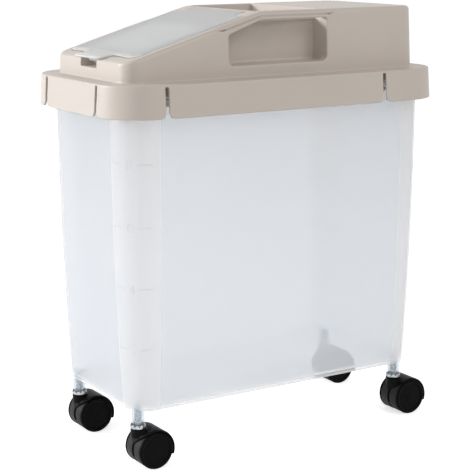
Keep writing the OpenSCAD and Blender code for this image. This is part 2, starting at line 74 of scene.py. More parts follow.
# Finger recess and the slits that part the skirt into tabs
FINGER_HW, FINGER_DEPTH, FINGER_FLOOR = 15.0, 12.2, 347.7
SLIT_TOP, SLIT_HALF, SLIT_CORNER = 334.9, 1.7, 5.0
SIDE_SLITS, END_SLIT, SLIT_REACH = (-126.9, 97.7), 48.0, 5.0

# Flip lid and its hinge
LID_T = 1.8
LID_UNDER = 0.25 - LID_T
LID_HW, TONGUE_HW, PULL_V, LID_FRONT_V, SCOOP_V = 60.5, 23.0, -2.2, 12.4, 13.4
CREASE_V, CREASE_BEND = 20.7, math.tan(math.radians(7.5))
HINGE_V = (CREST_Y - 5 - FRONT_Y) / CS
BARREL_R, BARREL_HW, TRUNNION_R, TRUNNION_HW = 3.2, 46.0, 2.0, 51.5
HINGE_W = LID_UNDER + LID_T + 0.15 - BARREL_R
HINGE_Y = FRONT_Y + HINGE_V * CS - HINGE_W * SN
HINGE_Z = FRONT_Z + HINGE_V * SN + HINGE_W * CS
HINGE_HW, BOSS_R, BOSS_HW = 45.0, 6.0, 53.5
LID_REAR = HINGE_V - 9

# Container: its floor's underside, how far it narrows, and its caster sockets
TUB_BOTTOM, TAPER, TAPER_POWER, PANEL = 53.0, 7.6, 2.2, 0.7
CORNER_STEPS, SIDE_STEPS = 14, 18
SOCKET_END, SOCKET_R, BORE_R, BORE_TOP = 37.4, 6.1, 4.8, 57.0
MARK_START, MARK_STEP = 56.3, 26.84

# Casters
CASTER_X, CASTER_Y, TRAIL, WHEEL_R = 57.8, 141.2, 10.6, 16.5
WHEEL_IN, WHEEL_OUT, AXLE_R = 1.3, 14.3, 2.08
WEB_HALF, WEB_R = 1.1, 15.9
FENDER_HALF, FENDER_R, FENDER_INSIDE, BOSS_LOW, BOSS_HIGH = 13.4, 19.0, 17.0, 28.0, 36.0
V_POINT, V_RUN = 71, 41
CORNERS = (("front_left", -1, -1), ("front_right", 1, -1), ("rear_left", -1, 1), ("rear_right", 1, 1))

# Where the fields are worked out: lowest and highest corner, with x from 0 up
COVER_BOX = ((0, -173.6, 308.8), (95.6, 173.6, 396))
LID_BOX = ((0, -4, -9), (62.5, HINGE_V + 4.5, 6.5))
FENDER_BOX = ((0, -8, 8), (15, 31, 37.5))

# The photograph's camera: its side in pixels, focal length and optical centre, and its place in metres
PHOTO_PX, FOCAL_PX = 470, 1459.75
CENTRE_X_PX, CENTRE_Y_PX = 232.29, 234.93
CAMERA_AT = (1.1351, -0.7153, 0.4613)
CAMERA_AZ, CAMERA_EL, CAMERA_ROLL = 58.0435, 11.7377, -0.193


def make_camera():
    az, el, roll = (math.radians(a) for a in (CAMERA_AZ, CAMERA_EL, CAMERA_ROLL))
    back = Vector((math.sin(az) * math.cos(el), -math.cos(az) * math.cos(el), math.sin(el)))
    level = Vector((math.cos(az), math.sin(az), 0.0))
    upright = back.cross(level)
    right = level * math.cos(roll) + upright * math.sin(roll)
    up = upright * math.cos(roll) - level * math.sin(roll)
    data = bpy.data.cameras.new("camera")
    cam = bpy.data.objects.new("camera", data)
    bpy.context.scene.collection.objects.link(cam)
    rows = [(right[i], up[i], back[i], CAMERA_AT[i]) for i in range(3)]
    cam.matrix_world = Matrix(rows + [(0, 0, 0, 1)])
    data.sensor_width = 36
    data.lens = FOCAL_PX / PHOTO_PX * data.sensor_width
    data.shift_x = (PHOTO_PX / 2 - CENTRE_X_PX) / PHOTO_PX
    data.shift_y = (CENTRE_Y_PX - PHOTO_PX / 2) / PHOTO_PX
    data.clip_start, data.clip_end = 0.05, 200
    bpy.context.scene.camera = cam


make_camera()


# Distance fields: negative inside a shape, positive outside
def hypot(a, b):
    return np.sqrt(a * a + b * b)


def within(*fields):
    """Intersection of several fields, with sharp edges."""
    return functools.reduce(np.maximum, fields)


def rounded(a, b, r):
    """Intersection with a round on the edge, whose radius may change from place to place."""
    return np.minimum(-r, np.maximum(a, b)) + hypot(np.maximum(r + a, 0), np.maximum(r + b, 0))


def both(a, b, r=0.0):
    """Intersection, with a round of radius r on the edge."""
    return rounded(a, b, r) if r > 0 else np.maximum(a, b)


def either(a, b, r=0.0):
    """Union, with a fillet of radius r in the corner."""
    return -both(-a, -b, r)


def less(a, b, r=0.0):
    """Difference, with a round of radius r on the edge."""
    return both(a, -b, r)


def rounded_plan(x, y, plan, grow=0.0):
    """Distance to a rounded rectangle in plan, grown all round."""
    hw, hl, r = (size + grow for size in plan)
    qx, qy = np.abs(x) - (hw - r), np.abs(y) - (hl - r)
    return hypot(np.maximum(qx, 0), np.maximum(qy, 0)) + np.minimum(np.maximum(qx, qy), 0) - r


def polygon_distance(x, y, pts):
    """Signed distance to a closed polygon, on broadcast arrays x and y."""
    d = np.full(np.broadcast(x, y).shape, 1e9, np.float32)
    inside = np.zeros(d.shape, bool)
    for (ax, ay), (bx, by) in zip(pts, pts[1:] + pts[:1]):
        ex, ey = bx - ax, by - ay
        t = np.clip(((x - ax) * ex + (y - ay) * ey) / max(ex * ex + ey * ey, 1e-9), 0, 1)
        d = np.minimum(d, hypot(x - ax - t * ex, y - ay - t * ey))
        if ay != by:
            inside ^= ((ay > y) != (by > y)) & (x < ax + (y - ay) * ex / ey)
    return np.where(inside, -d, d)


def arc(cx, cy, r, a0, a1, n=8):
    angles = [math.radians(a0 + (a1 - a0) * i / n) for i in range(n + 1)]
    return [(cx + r * math.cos(a), cy + r * math.sin(a)) for a in angles]


def smooth(t):
    t = np.clip(t, 0, 1)
    return t * t * (3 - 2 * t)


def slope_v(y, z):
    return (y - FRONT_Y) * CS + (z - FRONT_Z) * SN


def slope_w(y, z):
    return (z - FRONT_Z) * CS - (y - FRONT_Y) * SN


def from_slope(p):
    """Points (x, v, w) of the slope's frame to the object's frame."""
    q = p.copy()
    q[:, 1] = FRONT_Y + p[:, 1] * CS - p[:, 2] * SN
    q[:, 2] = FRONT_Z + p[:, 1] * SN + p[:, 2] * CS
    return q


# Meshes
def shade(mesh, smooth_angle=None):
    """Smooth shading, with sharp edges above an angle where one is given."""
    mesh.polygons.foreach_set("use_smooth", np.ones(len(mesh.polygons), bool))
    if smooth_angle:
        mesh.set_sharp_from_angle(angle=math.radians(smooth_angle))


def new_object(name, verts, faces, smooth_angle=None):
    """An object of vertices in metres. The faces are a list, or an array where all have as many corners."""
    mesh = bpy.data.meshes.new(name)
    if isinstance(faces, np.ndarray):
        mesh.vertices.add(len(verts))
        mesh.vertices.foreach_set("co", np.asarray(verts, np.float32).ravel())
        mesh.loops.add(faces.size)
        mesh.loops.foreach_set("vertex_index", faces.astype(np.int32).ravel())
        mesh.polygons.add(len(faces))
        starts = np.arange(0, faces.size, faces.shape[1], dtype=np.int32)
        mesh.polygons.foreach_set("loop_start", starts)
        mesh.update(calc_edges=True)
        mesh.validate()
    else:
        mesh.from_pydata([tuple(v) for v in np.asarray(verts, np.float32)], [], faces)
    shade(mesh, smooth_angle)
    obj = bpy.data.objects.new(name, mesh)
    bpy.context.scene.collection.objects.link(obj)
    return obj


def field_object(name, box, h, field, place=None):
    """A mesh of where field(x, y, z) is zero, on a grid of step h in a box, and mirrored."""
    lo, hi = box
    n = [int(math.ceil((hi[i] - lo[i]) / h)) + 1 for i in range(3)]
    x, y, z = ((lo[i] + h * np.arange(n[i])).astype(np.float32) for i in range(3))
    d = field(x[:, None, None], y[None, :, None], z[None, None, :])
    d = np.clip(d, -3 * h, 3 * h).astype(np.float32)
    grid = openvdb.FloatGrid(3 * h)
    grid.copyFromArray(np.concatenate([d[:0:-1], d]))
    pts, quads = grid.convertToQuads(0.0)
    pts = pts.astype(np.float64) * h + np.array((-h * (n[0] - 1), lo[1], lo[2]))
    if place is not None:
        pts = place(pts)
    p = pts[quads]
    volume = np.einsum("ij,ij->i", np.cross(p[:, 1] - p[:, 0], p[:, 2] - p[:, 0]), p[:, 0]).sum()
    if volume < 0:
        quads = quads[:, ::-1]
    return new_object(name, pts * MM, np.ascontiguousarray(quads))


def strip_faces(n, m, closed=True):
    """Faces between n rings of m points, whose last ring joins the first."""
    faces = []
    for i in range(n):
        j = (i + 1) % n
        for k in range(m if closed else m - 1):
            l = (k + 1) % m
            faces.append((i * m + k, j * m + k, j * m + l, i * m + l))
    return faces


def lathe(name, profile, n=64, axis="z", centre=(0, 0, 0), closed=True):
    """Turns a profile of (radius, height) round an axis."""
    verts = []
    for i in range(n):
        a = 2 * math.pi * i / n
        for r, h in profile:
            c, s = r * math.cos(a), r * math.sin(a)
            p = (c, s, h) if axis == "z" else (h, c, s)
            verts.append([p[q] + centre[q] for q in range(3)])
    obj = new_object(name, np.array(verts) * MM, strip_faces(n, len(profile), closed))
    bm = bmesh.new()
    bm.from_mesh(obj.data)
    bmesh.ops.remove_doubles(bm, verts=bm.verts, dist=1e-6)
    bmesh.ops.recalc_face_normals(bm, faces=bm.faces)
    bm.to_mesh(obj.data)
    bm.free()
    shade(obj.data, 32)
    return obj


def join(obj, verts, faces, kinds):
    """Adds more geometry to a piece, with a material number for each face."""
    bm = bmesh.new()
    bm.from_mesh(obj.data)
    made = [bm.verts.new([c * MM for c in v]) for v in verts]
    added = []
    for f, kind in zip(faces, kinds):
        face = bm.faces.new([made[i] for i in f])
        face.material_index = kind
        face.smooth = True
        added.append(face)
    bmesh.ops.recalc_face_normals(bm, faces=added)
    bm.to_mesh(obj.data)
    bm.free()


def apply_boolean(obj, other, operation):
    mod = obj.modifiers.new("cut", "BOOLEAN")
    mod.operation = operation
    mod.object = other
    mod.solver = "EXACT"
    graph = bpy.context.evaluated_depsgraph_get()
    mesh = bpy.data.meshes.new_from_object(obj.evaluated_get(graph))
    obj.modifiers.clear()
    obj.data = mesh
    shade(mesh, 35)
    bpy.data.objects.remove(other)


# Top cover
def add_bars(hood, ax, y, z):
    """Rounds the hood's upper outer edge over to a small ledge along each handle bar."""
    fade = smooth((y - BAR_IN) / BAR_IN_RUN) * (1 - smooth((y - BAR_OUT) / BAR_OUT_RUN))
    size = np.maximum(fade, 0.03)
    surface = np.minimum(FRONT_Z + (y - FRONT_Y) * math.tan(SLOPE), PLATEAU)
    wall = HOOD[0] - HOOD_LEAN + (PLATEAU - surface) * HOOD_LEAN / (PLATEAU - SHELF)
    fall, width = 0.62 * BAR_DEPTH * size, BAR_WIDTH * size
    reach = 0.84 * width
    u = (ax - (wall - width)) / reach
    t = (z - (surface - fall)) / fall
    bar = (hypot(np.maximum(u, 0), t) - 1) * 0.5 * (fall + reach)
    keep = np.minimum(z - (surface - BAR_DEPTH * size), bar)
    return hood + (both(hood, keep, 0.4) - hood) * np.clip(fade * 5, 0, 1)


def cover_shell(hood, side, x, y, z):
    """The hood, the shelf and the skirt as one shell, with the seat ring and the plug under the shelf."""
    skirt = rounded_plan(x, y, COVER, SKIRT_FLARE * np.clip((SHELF - z) / (SHELF - SKIRT), 0, 1))
    outer = either(hood, both(skirt, z - SHELF, 1.0), 0.5)
    cavity = within(side + WALL, slope_w(y, z) + WALL + SEAT, z - (PLATEAU - WALL))
    cavity = either(cavity, both(skirt + WALL, z - (SHELF - WALL), 1.5))
    body = both(less(outer, cavity, 0.5), SKIRT - z, 0.6)
    ring = within(rounded_plan(x, y, PLUG, 4), RIM + 0.2 - z, z - (SHELF - 1))
    plug = within(rounded_plan(x, y, PLUG), RIM - PLUG_DEPTH - z, z - (SHELF - 1))
    return either(body, less(either(ring, plug), rounded_plan(x, y, PLUG, -2)))


def window_outline():
    """A handle recess as it is seen from the side: slanted at the front, level behind the crest."""
    low, high, front = 5.5, 2.0, 4.0
    top = 386.4
    slant = SLOPE + math.radians(3.5)
    corner = RECESS_FRONT + front
    corner_z = top - (CREST_Y - corner) * math.tan(slant) - front / math.cos(slant)
    return (arc(RECESS_FRONT + low, RECESS_FLOOR + low, low, 180, 270)
            + arc(RECESS_REAR - low, RECESS_FLOOR + low, low, 270, 360)
            + arc(RECESS_REAR - high, top - high, high, 0, 90) + [(CREST_Y, top)]
            + arc(corner, corner_z, front, 90 + math.degrees(slant), 180))


def cut_handles(body, hood, ax, y, z):
    """The recesses behind the handle bars, with walls of their own, and the trough between the bars."""
    w = slope_w(y, z)
    middle, half = (RECESS_REAR + RECESS_FRONT) / 2, (RECESS_REAR - RECESS_FRONT) / 2
    ridge = RIDGE_HW - RIDGE_BOW * (1 - np.abs(y - middle) / half)
    plan = within(RECESS_FRONT - y, y - RECESS_REAR, ridge - ax)
    upper = np.minimum(w + WALL + SEAT, SLOT_FRONT - y)
    recess = both(both(plan, RECESS_FLOOR - z, 2.0), upper, 0.8)
    ends = np.maximum(RECESS_FRONT - WALL - y, y - RECESS_REAR - WALL)
    shell = within(ends, ridge - WALL - ax, RECESS_FLOOR - WALL - z,
                   np.minimum(w + SEAT, SLOT_FRONT - WALL - y))
    body = either(body, np.maximum(shell, hood))
    window = polygon_distance(y[0], z[0], window_outline())[None]
    body = less(body, both(recess, np.minimum(ax - BAR_INSIDE, window)), 1.3)

    low = PLATEAU - TROUGH
    floor = within(ends, ax - RIDGE_HW - WALL, low - WALL - z, SLOT_FRONT - WALL - y)
    body = either(body, np.maximum(floor, hood))
    trough = within(SLOT_FRONT - y, y - RECESS_REAR, ax - BAR_INSIDE)
    return less(body, both(trough, low - z, 1.5), 1.0)


def cut_lid_seat(body, hood, x, y, z):
    """The finger recess, the pour mouth, the seat that the lid lies in, and the hinge."""
    ax, v, w = np.abs(x), slope_v(y, z), slope_w(y, z)
    back = FRONT_Y + FINGER_DEPTH
    box = within(ax - FINGER_HW - WALL, y - back - WALL, FINGER_FLOOR - WALL - z)
    body = either(body, np.maximum(box, hood))
    finger = both(both(ax - FINGER_HW, y - back, 1.0), FINGER_FLOOR - z, 0.8)
    body = less(body, finger, 0.7)
    body = less(body, np.maximum(rounded_plan(x, v - MOUTH_V, MOUTH), np.abs(w) - MOUTH_REACH), 0.6)
    near, far = LID_FRONT_V - GAP, LID_REAR + GAP
    seat = rounded_plan(x, v - (near + far) / 2, (LID_HW + GAP, (far - near) / 2, SEAT_R))
    seat = either(seat, np.maximum(ax - TONGUE_HW - GAP, np.abs(v - 10) - 3.6))
    seat = either(seat, np.maximum(ax - HINGE_HW - GAP, np.abs(v - 128) - 6.3))
    body = less(body, np.maximum(seat, -SEAT - w), 0.5)
    hinge = hypot(y - HINGE_Y, z - HINGE_Z)
    body = either(body, within(hinge - BOSS_R, ax - BOSS_HW, hood))
    trough = np.minimum(hinge, np.maximum(np.abs(y - HINGE_Y), HINGE_Z - z)) - BARREL_R - GAP
    body = less(body, np.maximum(trough, ax - BARREL_HW - 0.5), 0.4)
    return less(body, np.maximum(hinge - TRUNNION_R - 0.1, ax - TRUNNION_HW - 0.5))


def slit(t, z):
    """A slit in the skirt with a round top, and rounded lower corners on the tabs beside it."""
    at = np.abs(t)
    cut = np.minimum(np.maximum(at - SLIT_HALF, z - SLIT_TOP), hypot(t, z - SLIT_TOP) - SLIT_HALF)
    across, up = at - SLIT_HALF - SLIT_CORNER, z - SKIRT - SLIT_CORNER
    return np.minimum(cut, within(across, up, SLIT_CORNER - hypot(across, up)))


def cover_field(x, y, z):
    ax = np.abs(x)
    rise = np.clip((z - SHELF) / (PLATEAU - SHELF), -0.1, 1.2)
    side = rounded_plan(x, y, HOOD, -HOOD_LEAN * rise)
    top = both(slope_w(y, z), z - PLATEAU, 3.0)
    hood = rounded(side, top, 2.0 + 1.6 * smooth((y - FRONT_Y - 1.2) / 14))
    hood = add_bars(hood, ax, y, z)
    body = cover_shell(hood, side, x, y, z)
    body = cut_handles(body, hood, ax, y, z)
    body = cut_lid_seat(body, hood, x, y, z)
    long_cut = within(np.minimum(*(slit(y - at, z) for at in SIDE_SLITS)), COVER[0] - SLIT_REACH - ax)
    end_cut = within(slit(ax - END_SLIT, z), COVER[1] - SLIT_REACH - np.abs(y))
    return less(body, np.minimum(long_cut, end_cut), 0.6)


# Flip lid
def lid_outline():
    """The lid's outline in plan: a pull tongue with a fillet on each side, and ears at the hinge."""
    quarter = np.radians(np.arange(0, 91, 11.25))
    pull, fillet, front, rear = 5.0, 4.0, 8.0, 3.0
    half = [(0, PULL_V)]
    half += [(TONGUE_HW - pull + pull * math.sin(a), PULL_V + pull - pull * math.cos(a)) for a in quarter]
    half += [(TONGUE_HW + fillet - fillet * math.cos(a), SCOOP_V - 3.4 + 3.4 * math.sin(a)) for a in quarter]
    half += [(TONGUE_HW + 12 + 16 * t, SCOOP_V - (SCOOP_V - LID_FRONT_V) * t * t * (3 - 2 * t))
             for t in np.arange(0, 1.01, 0.125)]
    half += [(LID_HW - front + front * math.sin(a), LID_FRONT_V + front - front * math.cos(a))
             for a in quarter]
    half += arc(LID_HW - rear, LID_REAR - rear, rear, 0, 90, 6)
    half += [(HINGE_HW, LID_REAR), (HINGE_HW, HINGE_V), (0, HINGE_V)]
    return half + [(-x, v) for x, v in half[-2:0:-1]]


def lid_field(x, v, w):
    ax = np.abs(x)
    plan = polygon_distance(x[:, :, 0], v[:, :, 0], lid_outline())[:, :, None]
    s = CREASE_V - v
    base = LID_UNDER + CREASE_BEND * 0.5 * (s + np.sqrt(s * s + 9))
    plate = np.maximum(base - w, w - (base + LID_T)) * math.cos(math.radians(3))
    body = both(plan, plate, 0.75)
    # a low raised edge runs round the lid just inside its rim
    rim = np.maximum(np.abs(plan + 3.2) - 0.9, w - (base + LID_T + 0.35))
    body = np.where(v < 122, either(body, both(rim, base - w, 0.3), 0.6), body)
    # the closing ring, the pull lip, the barrel and its trunnions
    ring = rounded_plan(x, v - MOUTH_V, MOUTH, -0.6)
    body = either(body, within(ring, -ring - 1.6, LID_UNDER - 4 - w, w - LID_UNDER - 0.6), 0.5)
    lip = both(np.maximum(ax - 12, np.abs(v - 7.2) - 0.8), np.maximum(-4.6 - w, w - 2), 0.4)
    body = either(body, lip, 0.5)
    barrel = hypot(v - HINGE_V, w - HINGE_W)
    body = either(body, both(barrel - BARREL_R, ax - BARREL_HW, 0.5), 0.5)
    return either(body, np.maximum(barrel - TRUNNION_R, ax - TRUNNION_HW))


# Container
def tub_inset(z):
    """How far the container's walls stand in from their place at the rim."""
    return TAPER * np.power(np.clip(1 - (z - TUB_BOTTOM) / (RIM - TUB_BOTTOM), 0, 1), TAPER_POWER)


# How a panel falls back from the corner beside it: distance along the wall, share of its depth
STOPS = [(0.5, 0.05), (1.0, 0.5), (1.5, 0.95), (2.1, 1.0)]
RING_SIDE = [False] * (CORNER_STEPS + 3) + [True] * (SIDE_STEPS + 2) + [False] * 3
QUADRANTS = ((1, 1), (-1, 1), (-1, -1), (1, -1))


def side_ring(z, off, panel):
    """Outline of the container at height z, off inside its outer face, with its side panels set back."""
    hw, hl, r = (size - tub_inset(z) - off for size in TUB)
    pts = []
    last = STOPS[-1][0]
    for q in range(4):
        ends = (QUADRANTS[q], QUADRANTS[(q + 1) % 4])
        near, far = ((sx * (hw - r), sy * (hl - r)) for sx, sy in ends)
        pts += arc(near[0], near[1], r, 90 * q, 90 * (q + 1), CORNER_STEPS)
        a = math.radians(90 * (q + 1))
        ex, ey = pts[-1]
        fx, fy = far[0] + r * math.cos(a), far[1] + r * math.sin(a)
        length = math.hypot(fx - ex, fy - ey)
        dx, dy = (fx - ex) / length, (fy - ey) / length
        along = STOPS + [(last + (length - 2 * last) * k / SIDE_STEPS, 1.0) for k in range(1, SIDE_STEPS)]
        along += [(length - s, f) for s, f in reversed(STOPS)]
        for s, f in along:
            pts.append((ex + dx * s - math.cos(a) * panel * f, ey + dy * s - math.sin(a) * panel * f))
    return pts


def tub_rings():
    """The container's outlines from its floor up the outside, over the rim and down the inside."""
    rings = []

    def add(shape_z, off, z, panel=0.0):
        rings.append([(x, y, z) for x, y in side_ring(shape_z, off, panel)])

    def add_round(z, off, r, steps):
        for k in steps:
            a = math.radians(k)
            add(z, off + r * (1 - math.sin(a)), z + r * (1 - math.cos(a)), PANEL if off == 0 else 0.0)

    for off in (8.0, 5.6):
        add(TUB_BOTTOM, off, TUB_BOTTOM, PANEL)
    add_round(TUB_BOTTOM, 0, 4, np.arange(0, 91, 15))
    for z in np.linspace(61, 322.6, 30):
        add(z, 0, z, PANEL)
    panels_end = len(rings) - 1
    for off, z, panel in ((0, 323.2, PANEL / 2), (0, 323.6, 0), (-0.4, 323.9, 0), (-1.0, 324.0, 0)):
        add(z, off, z, panel)
    lip = ((-3.3, 324.0), (-3.8, 324.2), (-4.0, 324.7), (-4.0, 326.3), (-3.8, 326.8), (-3.3, 327.0))
    for off, z in lip + ((1.4, 327.0), (1.9, 326.9), (2.2, 326.5)):
        add(RIM, off, z)
    inside = len(rings)
    for z in np.linspace(322, 60.5, 28):
        add(z, WALL, z)
    add_round(56.0, WALL, 3.5, np.arange(90, -1, -18))
    return rings, panels_end, inside


def container_object():
    rings, panels_end, inside = tub_rings()
    panels_start, floor_round = 8, inside + 28
    n = len(rings[0])
    faces, look = [], []
    side = RING_SIDE * 4
    for k in range(len(rings) - 1):
        for i in range(n):
            j = (i + 1) % n
            faces.append((k * n + i, k * n + j, (k + 1) * n + j, (k + 1) * n + i))
            kind = COLUMN
            if panels_start <= k < panels_end and side[i]:
                kind = PANELS
            if k >= inside:
                kind = INSIDE
            # The rounded inner edge round the floor takes a whiter, more opaque plastic: partly the thicker
            # plastic there, partly a painted highlight for light caught along that edge.
            if k >= floor_round:
                kind = THICK_EDGE_AND_HIGHLIGHT
            look.append(kind)
    faces.append(tuple(range(n - 1, -1, -1)))
    last = (len(rings) - 1) * n
    faces.append(tuple(last + i for i in range(n)))
    look += [PANELS, INSIDE]
    verts = np.array([p for ring in rings for p in ring])
    obj = new_object("bin_tub", verts * MM, faces, smooth_angle=35)
    for mat in TUB_PLASTIC:
        obj.data.materials.append(mat)
    obj.data.polygons.foreach_set("material_index", look)
    return obj


def tub_part(obj, kind):
    """Gives a cutter or an added block the container's materials, all of its faces in number kind."""
    for mat in TUB_PLASTIC:
        obj.data.materials.append(mat)
    obj.data.polygons.foreach_set("material_index", [kind] * len(obj.data.polygons))
    return obj


# Each figure is one line in mm, across and up from the middle of its foot
FIGURES = {
    8: [(1, 4), (2.2, 4.6), (2.4, 5.8), (1.6, 7), (0, 7.4), (-1.6, 7), (-2.4, 5.8), (-2.2, 4.6), (-1, 4),
        (-2.4, 3.2), (-2.7, 1.8), (-1.8, 0.5), (0, 0), (1.8, 0.5), (2.7, 1.8), (2.4, 3.2), (1, 4), (-1, 4)],
    6: [(2.2, 6.6), (0.6, 7.4), (-1.4, 6.6), (-2.5, 4.4), (-2.6, 2.2), (-1.7, 0.5), (0, 0), (1.7, 0.5),
        (2.6, 2.2), (1.8, 3.9), (0, 4.5), (-1.7, 3.9), (-2.5, 2.8)],
    4: [(1.4, 0), (1.4, 7.4), (-2.7, 2.2), (2.8, 2.2)],
    2: [(-2.3, 5.6), (-1.5, 7), (0, 7.4), (1.6, 6.9), (2.3, 5.6), (1.9, 4.2), (-0.4, 2.2), (-2.5, 0),
        (2.6, 0)]}
FIGURE_TURN, FIGURE_DROP = 38, 3.7
LINE_WIDTH, FIGURE_WIDTH = 0.95, 0.6
MM_PER_DEGREE = 0.5


def corner_point(sx, sy, turn, z, out):
    """Point on a corner of the container, turned by an angle from the short side's direction."""
    hw, hl, r = TUB
    reach = r - tub_inset(z) + out
    a = math.radians(turn)
    return (sx * (hw - r + reach * math.sin(a)), sy * (hl - r + reach * math.cos(a)), z)


def marks():
    """Raised graduation lines and figures on the corners, as strips of five-sided section."""
    verts, faces, kinds = [], [], []

    def strip(sx, sy, start, end, width, kind, n):
        path = [[a + (b - a) * k / n for a, b in zip(start, end)] for k in range(n + 1)]
        base = len(verts)
        for i, (turn, z) in enumerate(path):
            t0, z0 = path[max(i - 1, 0)]
            t1, z1 = path[min(i + 1, n)]
            du, dz = (t1 - t0) * MM_PER_DEGREE, z1 - z0
            half = width / 2 / math.hypot(du, dz)
            for s, out in ((-1, -0.1), (-0.8, 0.14), (0, 0.2), (0.8, 0.14), (1, -0.1)):
                aside = s * dz * half / MM_PER_DEGREE
                verts.append(corner_point(sx, sy, turn - aside, z + s * du * half, out))
        for i in range(n):
            for k in range(5):
                l = (k + 1) % 5
                here, there = base + i * 5, base + (i + 1) * 5
                faces.append((here + k, here + l, there + l, there + k))
        faces.append(tuple(base + k for k in range(5)))
        faces.append(tuple(base + n * 5 + k for k in range(4, -1, -1)))
        kinds.extend([kind] * (n * 5 + 2))

    for level in range(1, 10):
        z = MARK_START + MARK_STEP * level
        for sx, sy in ((1, -1), (-1, -1), (1, 1), (-1, 1)):
            if level in FIGURES and sx != sy:
                strip(sx, sy, (4, z), (19, z), LINE_WIDTH, TICKS, 8)
                strip(sx, sy, (52, z), (77, z), LINE_WIDTH, NUMBERS, 8)
                line = [(FIGURE_TURN - u / MM_PER_DEGREE * sx * sy, z - FIGURE_DROP + h)
                        for u, h in FIGURES[level]]
                for start, end in zip(line, line[1:]):
                    strip(sx, sy, start, end, FIGURE_WIDTH, NUMBERS, 4)
            if level in (1, 3, 5, 7) and sx == sy:
                strip(sx, sy, (14, z), (48, z), LINE_WIDTH, TICKS, 8)
    return verts, faces, kinds


# Casters, about a swivel axis at x = y = 0
def fender_field(x, y, z):
    ax = np.abs(x)
    axle = hypot(y - TRAIL, z - WHEEL_R)
    turn = np.degrees(np.arctan2(TRAIL - y, z - WHEEL_R)) + 0 * x
    # the hood over the wheels narrows to the web in front, as a V
    half = WEB_HALF + (FENDER_HALF - WEB_HALF) * np.clip((V_POINT - turn) / V_RUN, 0, 1)
    outer = FENDER_R - 1.7 * smooth((turn - 25) / 46)
    shell = both(np.maximum((ax - half) * 0.8, -7.2 - y), axle - outer, 0.7)
    boss = both(hypot(x, y) - 6.7, np.maximum(BOSS_LOW - z, z - BOSS_HIGH), 0.6)
    body = either(shell, boss, 1.5)
    body = less(body, np.maximum(axle - FENDER_INSIDE, WEB_HALF - ax), 0.3)
    body = both(body, WHEEL_R - 17.2 * math.sin(math.radians(20)) - z, 0.7)
    return either(body, within(ax - WEB_HALF, axle - WEB_R, 3.0 - z))


def wheel_profile():
    """Half section of a wheel: (radius, distance from the web's middle)."""
    i, o, r, rim = WHEEL_IN, WHEEL_OUT, WHEEL_R, 1.3
    hollow = [(AXLE_R, i), (4.6, i), (4.6, i + 8), (r - 2.6, i + 8), (r - 2.6, i + 0.3), (r - 2.3, i)]
    tread = [(r - 0.6, i), (r - 0.3, i + 0.3), (r - 0.2, i + 2.0), (r - 0.2, o - 3.2)]
    groove = [(r - 0.5, o - 2.7), (r - 1.3, o - 2.4), (r - 1.3, o - 2.1), (r - 0.3, o - 1.8)]
    edge = arc(r - rim, o - rim, rim, 0, 90, 6)
    step = [(r - 2.3, o), (r - 2.7, o - 0.1), (r - 3.0, o - 0.4), (r - 3.2, o - 0.9), (r - 3.6, o - 1.05)]
    disc = [(r - 4.4, o - 1.0), (9.0, o - 0.75), (5.0, o - 0.62), (4.5, o - 0.6), (4.3, o - 0.45)]
    cap = [(4.0, o - 0.4), (1.5, o - 0.4), (0.0, o - 0.4), (0.0, o - 2.6), (AXLE_R, o - 2.6)]
    return hollow + tread + groove + edge + step + disc + cap


def tread_faces(mesh, cx, cy):
    """1 for the faces of a wheel's tread, 0 for the rest."""
    band = []
    for f in mesh.polygons:
        across = abs(f.center.x / MM - cx)
        away = math.hypot(f.center.y / MM - cy - TRAIL, f.center.z / MM - WHEEL_R)
        band.append(1 if away > WHEEL_R - 0.7 and across < WHEEL_OUT - 2.7 else 0)
    return band


def crown_object(name):
    """Pressed steel sleeve end: a flange with a crown of pointed teeth."""
    bore, inner, outer, teeth, n = 3.08, 6.15, 6.85, 10, 120
    low, flange = SOCKET_END - 1, SOCKET_END
    verts = []
    for i in range(n):
        a = 2 * math.pi * i / n
        notch = max(0.0, 1 - abs((i * teeth / n) % 1.0 - 0.5) / 0.34)
        top = flange + 2.4 - 1.8 * notch
        profile = ((bore, low + 0.05), (3.3, low), (outer - 0.25, low), (outer, low + 0.25),
                   (outer, top - 0.15), (outer - 0.15, top), (inner + 0.1, top), (inner, top - 0.1),
                   (inner, flange + 0.05), (inner - 0.1, flange), (bore, flange))
        verts += [(r * math.cos(a), r * math.sin(a), z) for r, z in profile]
    return new_object(name, np.array(verts) * MM, strip_faces(n, len(profile)), smooth_angle=30)


# Materials
def material(name):
    mat = bpy.data.materials.new(name)
    mat.use_nodes = True
    nodes, links = mat.node_tree.nodes, mat.node_tree.links
    nodes.clear()
    out = nodes.new("ShaderNodeOutputMaterial")
    return mat, nodes, links, out


def node(nodes, kind, values):
    """A shader node with the values of some of its inputs."""
    made = nodes.new("ShaderNode" + kind)
    for key, value in values.items():
        made.inputs[key].default_value = value
    return made


def noise(nodes, links, scale, detail=2.0, rough=0.5):
    coords = nodes.new("ShaderNodeTexCoord")
    tex = node(nodes, "TexNoise", {"Scale": scale, "Detail": detail, "Roughness": rough})
    links.new(coords.outputs["Object"], tex.inputs["Vector"])
    return tex.outputs["Fac"]


def ramp(nodes, links, source, low, high):
    """A colour that runs from low to high over the middle of a noise."""
    made = nodes.new("ShaderNodeValToRGB")
    for element, position, colour in zip(made.color_ramp.elements, (0.3, 0.7), (low, high)):
        element.position = position
        element.color = tuple(colour) + (1,)
    links.new(source, made.inputs["Fac"])
    return made.outputs["Color"]


def bump(nodes, links, height, strength, distance, after=None):
    made = node(nodes, "Bump", {"Strength": strength, "Distance": distance})
    links.new(height, made.inputs["Height"])
    if after is not None:
        links.new(after, made.inputs["Normal"])
    return made.outputs["Normal"]


def mix(nodes, links, share, first, second):
    """Two shaders mixed by a number or by another node's output."""
    made = nodes.new("ShaderNodeMixShader")
    if isinstance(share, float):
        made.inputs["Fac"].default_value = share
    else:
        links.new(share, made.inputs["Fac"])
    links.new(first, made.inputs[1])
    links.new(second, made.inputs[2])
    return made.outputs[0]


